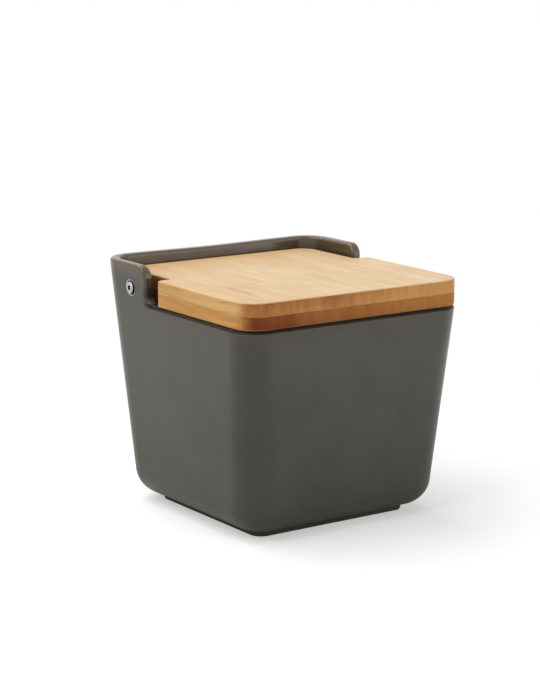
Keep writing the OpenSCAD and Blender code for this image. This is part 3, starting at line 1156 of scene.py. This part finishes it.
def ray_is(tree, kinds):
    """1 for the rays of the kinds named."""
    path = tree.nodes.new("ShaderNodeLightPath")
    seen = Formula(tree, path.outputs[kinds[0]])
    for kind in kinds[1:]:
        seen = seen.most(Formula(tree, path.outputs[kind]))
    return seen


def shader(tree, kind, **entries):
    """A shader node, with its inputs set to plain values."""
    node = tree.nodes.new(kind)
    for key, value in entries.items():
        node.inputs[key].default_value = value
    return node


def shader_mix(tree, share, a, b):
    """A shader between a and b."""
    node = tree.nodes.new("ShaderNodeMixShader")
    feed(tree, node.inputs[0], share)
    tree.links.new(a.outputs[0], node.inputs[1])
    tree.links.new(b.outputs[0], node.inputs[2])
    return node


def plain_floor():
    mesh = bpy.data.meshes.new("floor")
    corners = [(-1, -1), (1, -1), (1, 1), (-1, 1)]
    mesh.from_pydata([(x * FLOOR_REACH, y * FLOOR_REACH, 0) for x, y in corners], [],
                     [(0, 1, 2, 3)])
    floor = in_scene("floor", mesh)
    material = bpy.data.materials.new("pale_floor")
    material.use_nodes = True
    tree = material.node_tree
    tree.nodes.clear()
    matt = shader(tree, "ShaderNodeBsdfDiffuse", Color=FLOOR_TONE)
    lift = shader(tree, "ShaderNodeEmission", Strength=FLOOR_LIFT)
    lifted = tree.nodes.new("ShaderNodeAddShader")
    tree.links.new(matt.outputs[0], lifted.inputs[0])
    tree.links.new(lift.outputs[0], lifted.inputs[1])
    white = shader(tree, "ShaderNodeEmission")
    place = tree.nodes.new("ShaderNodeTexCoord")
    far = tree.nodes.new("ShaderNodeVectorMath")
    far.operation = "LENGTH"
    tree.links.new(place.outputs["Object"], far.inputs[0])
    fade = eased(rising(Formula(tree, far.outputs["Value"]), WHITE_FROM, WHITE_FADE))
    close = shader_mix(tree, ray_is(tree, SEEN_RAYS), matt, lifted)
    seen = shader_mix(tree, fade, close, white)
    both = shader_mix(tree, ray_is(tree, PICTURE_RAYS), matt, seen)
    end = tree.nodes.new("ShaderNodeOutputMaterial")
    tree.links.new(both.outputs[0], end.inputs[0])
    mesh.materials.append(material)


def studio_world(level):
    """Soft light from all round, at a level, which is plain white where it is seen."""
    world = bpy.data.worlds.new("studio")
    bpy.context.scene.world = world
    world.use_nodes = True
    tree = world.node_tree
    tree.nodes.clear()
    soft = shader(tree, "ShaderNodeBackground", Color=WHITE, Strength=level)
    white = shader(tree, "ShaderNodeBackground", Color=WHITE)
    both = shader_mix(tree, ray_is(tree, PICTURE_RAYS), soft, white)
    end = tree.nodes.new("ShaderNodeOutputWorld")
    tree.links.new(both.outputs[0], end.inputs[0])


def soft_lamp(name, place, size, power):
    """A square lamp that faces the middle of the box, of a size in metres and a power in
    watts."""
    data = bpy.data.lights.new(name, "AREA")
    data.size = size
    data.energy = power
    lamp = in_scene(name, data)
    lamp.location = place
    lamp.rotation_euler = (Vector((0, 0, POT_HIGH.z / 2)) - lamp.location).to_track_quat(
        "-Z", "Y").to_euler()


plain_floor()
studio_world(0.30)
soft_lamp("overhead_lamp", place=(-0.15, 0.45, 1.00), size=0.9, power=6.0)
soft_lamp("side_lamp", place=(-0.92, -0.04, 0.88), size=0.8, power=4.3)
soft_lamp("front_lamp", place=(0.60, -1.02, 0.42), size=0.8, power=2.65)

CAMERA_AZIMUTH = math.radians(-35.18936)
CAMERA_ELEVATION = math.radians(11.95231)
CAMERA_ROLL = math.radians(0.29827)
CAMERA_TARGET = Vector((5.8019, 18.3540, 70.3722)) * MM
CAMERA_DISTANCE = 998.022 * MM
CAMERA_LENS = 107.326
CAMERA_SENSOR = 36.0
CAMERA_NEAREST = 0.01


def make_camera():
    data = bpy.data.cameras.new("camera")
    data.lens = CAMERA_LENS
    data.sensor_width = CAMERA_SENSOR
    data.clip_start = CAMERA_NEAREST
    camera = in_scene("camera", data)
    flat = math.cos(CAMERA_ELEVATION)
    back = Vector((math.sin(CAMERA_AZIMUTH) * flat, -math.cos(CAMERA_AZIMUTH) * flat,
                   math.sin(CAMERA_ELEVATION)))
    right = Vector((0, 0, 1)).cross(back).normalized()
    up = back.cross(right)
    turned_right = right * math.cos(CAMERA_ROLL) + up * math.sin(CAMERA_ROLL)
    turned_up = up * math.cos(CAMERA_ROLL) - right * math.sin(CAMERA_ROLL)
    pose = Matrix((turned_right, turned_up, back)).transposed().to_4x4()
    pose.translation = CAMERA_TARGET + back * CAMERA_DISTANCE
    camera.matrix_world = pose
    bpy.context.scene.camera = camera


make_camera()
bpy.context.scene.view_settings.view_transform = "Standard"
